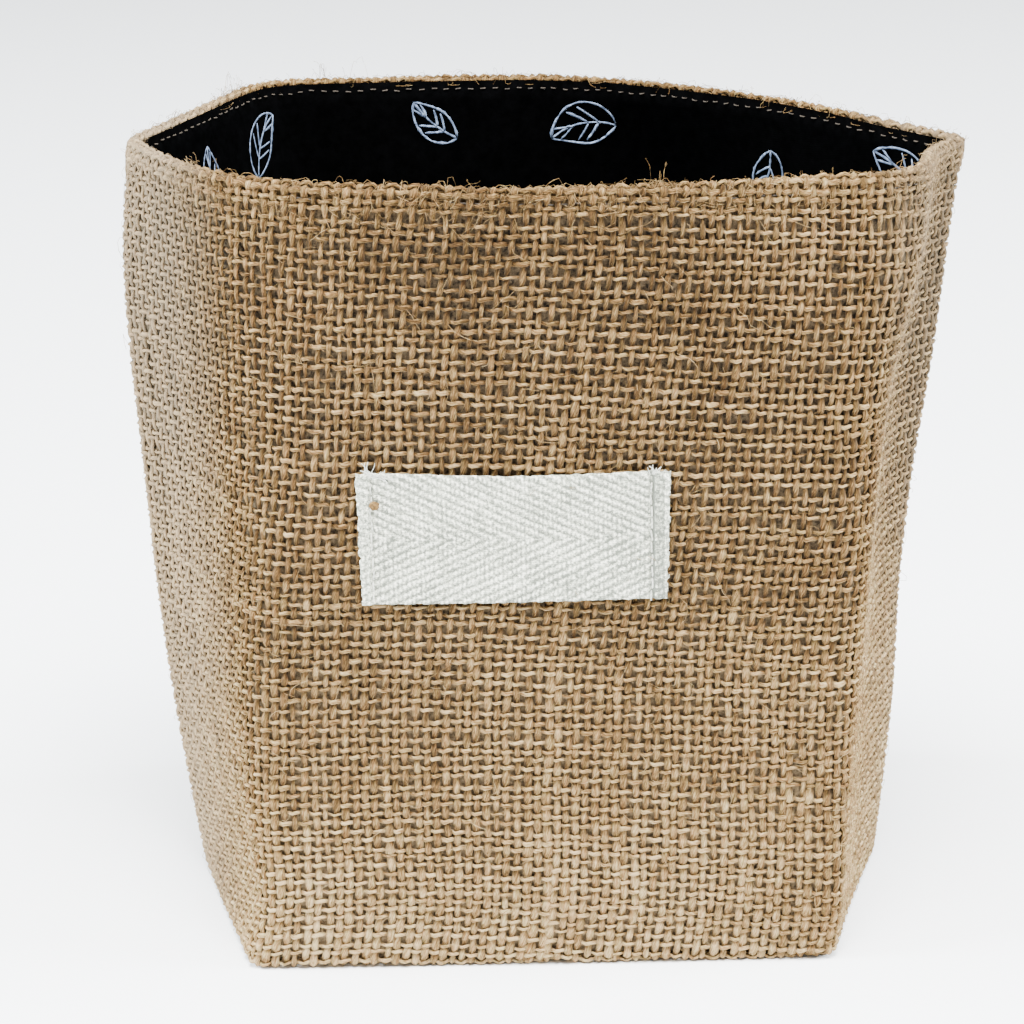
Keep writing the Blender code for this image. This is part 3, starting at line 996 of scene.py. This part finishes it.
def tape_threads(wall, finish):
    """The stitches down both ends of the tape, and threads frayed from its corners."""
    rng = np.random.default_rng(TAPE_THREAD_SEED)
    steps = 9
    t = np.linspace(-1, 1, steps)
    xs, zs, lifts, wides = [], [], [], []
    for side, fold in ((-1, TAPE_FOLD_LEFT), (1, TAPE_FOLD_RIGHT)):
        for z in np.arange(-TAPE_WIDTH / 2 + 1.2, TAPE_WIDTH / 2 - 0.8, TAPE_STITCH_SPACING):
            x = side * (TAPE_LENGTH / 2 - fold - 0.15) + 0.1 * rng.standard_normal()
            xs.append(x + 0.08 * rng.standard_normal() * t)
            zs.append(z + 0.95 * t)
            lifts.append(TAPE_LIFT + 0.10 + 0.14 * (1 - 2.6 * t**4))
            wides.append(np.full(steps, TAPE_THREAD))
    for x, spread, long, lean, count in TAPE_FRAYS:
        for _ in range(count):
            turn = rng.normal(lean, 0.35) + rng.normal(0, 0.5) * (t + 1)
            step = rng.uniform(0.4, 1.0) * long / steps
            xs.append(x + rng.normal(0, spread) + np.cumsum(step * np.cos(turn)))
            zs.append(TAPE_WIDTH / 2 - 0.7 + np.cumsum(step * np.sin(turn)))
            lifts.append(TAPE_LIFT + 0.25 + 0.25 * (t + 1) * rng.uniform(0, 1))
            wides.append(rng.uniform(0.08, 0.17) * (1 - 0.3 * (t + 1)))
    x, z, lift, wide = (np.array(v) for v in (xs, zs, lifts, wides))
    paths, outs = tape_on_wall(wall, x, z, lift)
    tone = tones(rng, 0.6, 0.15, (len(x), 1))
    return strands("tape_threads", finish, paths, outs, wide, wide, tone, 5)


def seed_fleck(wall, finish):
    """A fleck of seed husk caught in the tape."""
    bm = bmesh.new()
    bmesh.ops.create_icosphere(bm, subdivisions=3, radius=MM)
    spot = (np.array([value]) for value in (FLECK_X, FLECK_Z, TAPE_LIFT + FLECK_LIFT))
    (centre,), (out,) = tape_on_wall(wall, *spot)
    turn = Vector(out).to_track_quat("Z", "Y").to_matrix().to_4x4()
    bmesh.ops.scale(bm, vec=(0.95, 0.85, 0.45), verts=bm.verts)
    for vert in bm.verts:
        x, y, _ = vert.co / MM
        vert.co *= 1 + 0.12 * math.sin(5 * x + 3 * y) * math.cos(7 * y)
    bmesh.ops.transform(bm, matrix=Matrix.Translation(Vector(centre) * MM) @ turn, verts=bm.verts)
    return finished(bm, bpy.data.meshes.new("seed_fleck"), finish)


# Materials --------------------------------------------------------------------------------------


class Nodes:
    """A material's nodes, put in with their settings and links in one call each."""

    def __init__(self, name):
        self.material = bpy.data.materials.new(name)
        self.material.use_nodes = True
        self.tree = self.material.node_tree
        self.shader = self.tree.nodes["Principled BSDF"]

    def add(self, kind, inputs=(), **settings):
        node = self.tree.nodes.new("ShaderNode" + kind)
        for key, value in settings.items():
            setattr(node, key, value)
        for key, value in dict(inputs).items():
            self.put(node.inputs[key], value)
        return node

    def put(self, socket, value):
        if isinstance(value, bpy.types.NodeSocket):
            self.tree.links.new(value, socket)
        else:
            socket.default_value = value

    def math(self, operation, a, b=0.5, c=0.5):
        return self.add("Math", {0: a, 1: b, 2: c}, operation=operation).outputs[0]

    def wave(self, kind, value, rate):
        return self.math(kind, self.math("MULTIPLY", value, rate))

    def rise(self, value, low, high, most=1.0):
        """From 0 to most, as a value goes from low to high."""
        inputs = {"Value": value, "From Min": low, "From Max": high, "To Max": most}
        return self.add("MapRange", inputs).outputs[0]

    def place(self):
        return self.add("TexCoord").outputs["Object"]

    def parts(self, vector):
        return self.add("SeparateXYZ", {0: vector}).outputs

    def strand(self):
        """What strands() gives each strand: its place as three numbers, and its tone."""
        fibre = self.add("Attribute", {}, attribute_name="fibre").outputs["Vector"]
        return *self.parts(fibre), self.add("Attribute", {}, attribute_name="tone").outputs["Fac"]

    def noise(self, vector, scale, detail=2.0, roughness=0.5):
        inputs = {"Vector": vector, "Scale": scale, "Detail": detail, "Roughness": roughness}
        return self.add("TexNoise", inputs).outputs["Fac"]

    def ramp(self, value, stops):
        node = self.add("ValToRGB", {"Fac": value})
        ramp = node.color_ramp
        while len(ramp.elements) < len(stops):
            ramp.elements.new(1.0)
        for element, (place, colour) in zip(ramp.elements, stops):
            element.position = place
            element.color = (*colour, 1.0)
        return node.outputs["Color"]

    def mix(self, share, a, b, blend="MIX"):
        node = self.add("Mix", {}, data_type="RGBA", blend_type=blend)
        self.put(node.inputs[0], share)
        self.put(node.inputs[6], a)
        self.put(node.inputs[7], b)
        return node.outputs[2]

    def finish(self, colour, roughness, bumps=(), **sockets):
        self.put(self.shader.inputs["Base Color"], colour)
        self.put(self.shader.inputs["Roughness"], roughness)
        for key, value in sockets.items():
            self.put(self.shader.inputs[key.replace("_", " ")], value)
        normal = None
        for height, strength, distance in bumps:
            bump = self.add("Bump", {"Height": height, "Strength": strength, "Distance": distance})
            if normal:
                self.tree.links.new(normal, bump.inputs["Normal"])
            normal = bump.outputs["Normal"]
        if normal:
            self.tree.links.new(normal, self.shader.inputs["Normal"])
        return self.material


def painted_side_haze(nodes, place):
    """The share of painted haze and sheen that makes the burlap of the gussets paler, more on the
    left than on the right.
    """
    across = nodes.parts(place)[0]
    left = nodes.rise(across, -0.057, -0.069, 0.42)
    return nodes.math("MAXIMUM", left, nodes.rise(across, 0.059, 0.071, 0.22))


def jute():
    """Jute yarn: fine fibres wind along it, each yarn has its own tone, and all pale downwards, as
    painted shade makes it darker the higher it is.
    """
    nodes = Nodes("jute_yarn")
    along, side, deep, tone = nodes.strand()
    wound = nodes.math("MULTIPLY_ADD", along, JUTE_TWIST, side)
    drawn_out = nodes.math("MULTIPLY", along, 0.13)
    hairs = nodes.add("CombineXYZ", {0: drawn_out, 1: wound, 2: deep}).outputs[0]
    fine = nodes.noise(hairs, 5.0, 3.0, 0.65)
    broad = nodes.noise(hairs, 1.3, 2.0, 0.5)
    level = nodes.math("MULTIPLY_ADD", fine, 1.9, nodes.math("MULTIPLY", broad, 0.7))
    level = nodes.math("ADD", level, nodes.math("SUBTRACT", tone, 1.215))
    place = nodes.place()
    # Painted shade: the higher the burlap, the darker.
    level = nodes.math("MULTIPLY_ADD", nodes.parts(place)[2], -1.8, level)
    colour = nodes.ramp(level, JUTE_SHADES)
    hue = nodes.noise(hairs, 2.1, 3.0, 0.7)
    worn = nodes.noise(place, 60.0, 2.0, 0.6)
    for share, tint in ((nodes.rise(hue, 0.50, 0.66, 0.8), (1.0, 0.84, 0.72, 1.0)),
                        (nodes.rise(hue, 0.50, 0.34, 0.8), (0.86, 0.95, 0.78, 1.0)),
                        (nodes.rise(worn, 0.52, 0.75, 0.5), (0.72, 0.62, 0.52, 1.0))):
        colour = nodes.mix(share, colour, tint, "MULTIPLY")
    # Painted haze and sheen: the gussets paler and greyer.
    colour = nodes.mix(painted_side_haze(nodes, place), colour, (0.30, 0.235, 0.155, 1.0))
    return nodes.finish(colour, 0.92, [(fine, 0.8, 0.0002)], Specular_IOR_Level=0.08,
                        Sheen_Weight=0.06, Sheen_Roughness=0.5, Sheen_Tint=(0.9, 0.75, 0.55, 1.0))


def gap_shade_finish():
    """The painted shade between the yarns: dark above, paler near the floor and on the gussets,
    where painted haze lies on it, and tan where the hem's inner layer backs the weave."""
    nodes = Nodes("burlap_gap_shade")
    place = nodes.place()
    height = nodes.parts(place)[2]
    mottled = nodes.noise(place, 1100.0, 3.0, 0.7)
    low = nodes.ramp(mottled, [(0.35, (0.085, 0.060, 0.034)), (0.7, (0.36, 0.255, 0.142))])
    high = nodes.ramp(mottled, [(0.35, (0.015, 0.012, 0.009)), (0.7, (0.16, 0.112, 0.064))])
    tan = nodes.ramp(mottled, [(0.3, (0.035, 0.020, 0.009)), (0.7, (0.15, 0.095, 0.042))])
    shade = nodes.mix(nodes.rise(height, 0.01, 0.11), low, high)
    shade = nodes.mix(nodes.rise(height, 0.1435, 0.1465), shade, tan)
    # Painted haze on the gussets, stronger here than on the yarns.
    pale = nodes.math("MULTIPLY", painted_side_haze(nodes, place), 1.5)
    colour = nodes.mix(pale, shade, (0.36, 0.28, 0.185, 1.0))
    return nodes.finish(colour, 0.95, [(mottled, 0.5, 0.0002)], Specular_IOR_Level=0.05)


def black_cotton():
    """The lining: a fine plain weave, almost black."""
    nodes = Nodes("black_cotton")
    place = nodes.place()
    x, y, z = nodes.parts(place)
    round_way = nodes.wave("SINE", nodes.math("ADD", x, y), 11000.0)
    threads = nodes.math("MULTIPLY", round_way, nodes.wave("SINE", z, 14000.0))
    lint = nodes.noise(place, 420.0, 3.0, 0.7)
    colour = nodes.ramp(lint, [(0.35, (0.0002, 0.0002, 0.0002)), (0.8, (0.0008, 0.0008, 0.0009))])
    return nodes.finish(colour, 0.9, [(threads, 0.15, 0.0001), (lint, 0.4, 0.0003)],
                        Specular_IOR_Level=0.005)


def print_ink():
    """The lining's print: chalky pale blue, thin in places."""
    nodes = Nodes("print_ink")
    worn = nodes.noise(nodes.place(), 900.0, 3.0, 0.7)
    colour = nodes.ramp(worn, [
        (0.3, (0.018, 0.026, 0.045)),
        (0.5, (0.085, 0.112, 0.17)),
        (0.75, (0.22, 0.27, 0.36)),
    ])
    return nodes.finish(colour, 0.85, [(worn, 0.3, 0.0001)], Specular_IOR_Level=0.2)


def cotton_tape():
    """Off-white herringbone cotton with painted shade: greyer between its ribs and picks, fainter
    on the turned ends, and darker along the fold and over the sunk turned end at the right."""
    nodes = Nodes("cotton_tape")
    place = nodes.place()
    x, _, z = nodes.parts(place)
    x = nodes.math("SUBTRACT", x, TAPE_CENTRE_X * MM)
    z = nodes.math("ABSOLUTE", nodes.math("SUBTRACT", z, TAPE_CENTRE_Z * MM))
    rib = nodes.math("DIVIDE", nodes.math("MULTIPLY_ADD", x, TAPE_SLOPE, z), TAPE_RIB * MM)
    ridge = nodes.math("MULTIPLY_ADD", nodes.wave("COSINE", rib, TAU), 0.5, 0.5)
    picks = nodes.wave("COSINE", x, TAU / (TAPE_PICK * MM))
    fine = nodes.wave("SINE", z, TAU / (TAPE_FINE * MM))
    dots = nodes.math("MULTIPLY_ADD", nodes.math("MULTIPLY_ADD", fine, 0.5, picks), 0.28, 0.66)
    # Painted shade in the grooves between the ribs and between the picks.
    ridge = nodes.math("MULTIPLY", ridge, dots)
    spun = nodes.noise(place, 2000.0, 3.0, 0.7)
    cloud = nodes.noise(place, 160.0, 2.0, 0.5)
    right_fold = (TAPE_LENGTH / 2 - TAPE_FOLD_RIGHT) * MM
    past_left = nodes.math("LESS_THAN", x, (TAPE_FOLD_LEFT - TAPE_LENGTH / 2) * MM)
    past_right = nodes.math("GREATER_THAN", x, right_fold)
    turned = nodes.math("MULTIPLY_ADD", ridge, 0.55, 0.20)
    ridge = nodes.mix(nodes.math("MAXIMUM", past_left, past_right), ridge, turned)
    level = nodes.math("MULTIPLY_ADD", ridge, 0.55, nodes.math("MULTIPLY", spun, 2.1))
    level = nodes.math("MULTIPLY_ADD", cloud, 0.25, nodes.math("SUBTRACT", level, 0.98))
    # Painted shade along the fold at the right.
    by_fold = nodes.math("COMPARE", x, right_fold, 0.4 * MM)
    darker = nodes.math("MULTIPLY", by_fold, nodes.math("MULTIPLY", spun, 0.55))
    level = nodes.math("SUBTRACT", level, darker)
    # Painted shade over the sunk turned end at the right.
    before_edge = nodes.math("LESS_THAN", x, (TAPE_LENGTH / 2 - 0.9) * MM)
    darker = nodes.math("MULTIPLY", nodes.math("MULTIPLY", past_right, before_edge), 0.2)
    level = nodes.math("SUBTRACT", level, darker)
    colour = nodes.ramp(level, [
        (0.1, (0.14, 0.15, 0.12)),
        (0.45, (0.44, 0.455, 0.36)),
        (0.8, (0.98, 0.965, 0.82)),
    ])
    return nodes.finish(colour, 0.85, [(spun, 0.5, 0.00015)], Specular_IOR_Level=0.2,
                        Sheen_Weight=0.1)


def cotton_thread(name, dark, light):
    """Spun sewing thread, its plies wound round it."""
    nodes = Nodes(name)
    along, side, _, tone = nodes.strand()
    wound = nodes.math("ADD", nodes.math("MULTIPLY", along, 9.0), nodes.math("MULTIPLY", side, 9.0))
    ply = nodes.math("MULTIPLY_ADD", nodes.math("SINE", wound), 0.5, 0.5)
    level = nodes.math("MULTIPLY_ADD", ply, 0.4, nodes.math("MULTIPLY", tone, 0.7))
    colour = nodes.ramp(level, [(0.2, dark), (0.8, light)])
    return nodes.finish(colour, 0.8, [(ply, 0.4, 0.0001)], Specular_IOR_Level=0.25)


def husk():
    """The seed fleck: a brown husk, paler in places."""
    nodes = Nodes("seed_husk")
    grain = nodes.noise(nodes.place(), 2200.0, 3.0, 0.6)
    colour = nodes.ramp(grain, [(0.3, (0.055, 0.028, 0.008)), (0.7, (0.20, 0.118, 0.042))])
    return nodes.finish(colour, 0.8, [(grain, 0.5, 0.0002)], Specular_IOR_Level=0.1)


# Stage ------------------------------------------------------------------------------------------


def camera():
    """The photo's camera, where it stood."""
    down, turn, roll = (math.radians(a) for a in (CAMERA_DOWN, CAMERA_TURN, CAMERA_ROLL))
    level = math.cos(down)
    forward = Vector((math.sin(turn) * level, math.cos(turn) * level, -math.sin(down)))
    right = Vector((math.cos(turn), -math.sin(turn), 0))
    up = right.cross(forward)
    sideways = right * math.cos(roll) + up * math.sin(roll)
    upright = up * math.cos(roll) - right * math.sin(roll)
    data = bpy.data.cameras.new("photo_camera")
    data.lens = CAMERA_LENS
    data.sensor_width = 36.0
    data.clip_start = 0.01
    thing = linked("photo_camera", data)
    basis = Matrix((sideways, upright, -forward)).transposed().to_4x4()
    thing.matrix_world = Matrix.Translation(CAMERA_PLACE) @ basis
    bpy.context.scene.camera = thing


def stage():
    """A plain pale floor and soft light."""
    bm = bmesh.new()
    bmesh.ops.create_grid(bm, x_segments=1, y_segments=1, size=FLOOR_SIZE)
    mesh = bpy.data.meshes.new("floor")
    bm.to_mesh(mesh)
    bm.free()
    floor = linked("floor", mesh)
    mesh.materials.append(Nodes("pale_floor").finish((0.93, 0.93, 0.93, 1.0), 0.8))
    world = bpy.context.scene.world or bpy.data.worlds.new("soft_room")
    bpy.context.scene.world = world
    world.use_nodes = True
    background = world.node_tree.nodes["Background"]
    background.inputs["Color"].default_value = (*WHITE, 1.0)
    background.inputs["Strength"].default_value = ROOM_LIGHT
    for name, place, aim, power, colour in LAMPS:
        data = bpy.data.lights.new(name, "AREA")
        data.color = colour
        data.size = LAMP_SIZE
        data.energy = power
        lamp = linked(name, data)
        lamp.location = place
        way = Vector((0, 0, aim)) - Vector(place)
        lamp.rotation_euler = way.to_track_quat("-Z", "Y").to_euler()


def main():
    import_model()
    camera()
    stage()
    wall = Surface(burlap_route())
    lining = lining_surface()
    burlap = jute()
    gap_shade = gap_shade_finish()
    tan_thread = cotton_thread("tan_thread", (0.015, 0.012, 0.009), (0.055, 0.043, 0.031))
    white_thread = cotton_thread("white_thread", (0.32, 0.33, 0.28), (0.66, 0.66, 0.58))
    inside = lining_cloth(lining, black_cotton())
    leaves = printed_leaves(lining, print_ink())
    inner = topstitch("topstitch_inside", lining, lining.length, INNER_STITCH, tan_thread,
                      INNER_STITCH_SEED)
    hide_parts("lining")

    halves = (("burlap_front", 0, FRONT_SEED, WEFT_FALL), ("burlap_back", 1, BACK_SEED, 0.0))
    for name, half, seed, fall in halves:
        pieces = woven_half(name, wall, half, seed, burlap, fall)
        pieces.append(face_fibres(name + "_fibres", wall, half, seed + 50, burlap))
        if half == 0:
            pieces.append(rim_fibres(wall, burlap))
            pieces.append(seam_bundles(wall, burlap))
            pieces.append(topstitch("topstitch_outside", wall, wall.rim, OUTER_STITCH, tan_thread,
                                    OUTER_STITCH_SEED))
        sheet = cloth_gap_shade(name + "_ground", wall, half, gap_shade)
        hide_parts(name)
    under = base_gap_shade(gap_shade)
    base_weave(burlap)
    tape = tape_patch(wall, cotton_tape())
    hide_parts("tape_patch")
    tape_threads(wall, white_thread)
    seed_fleck(wall, husk())


main()
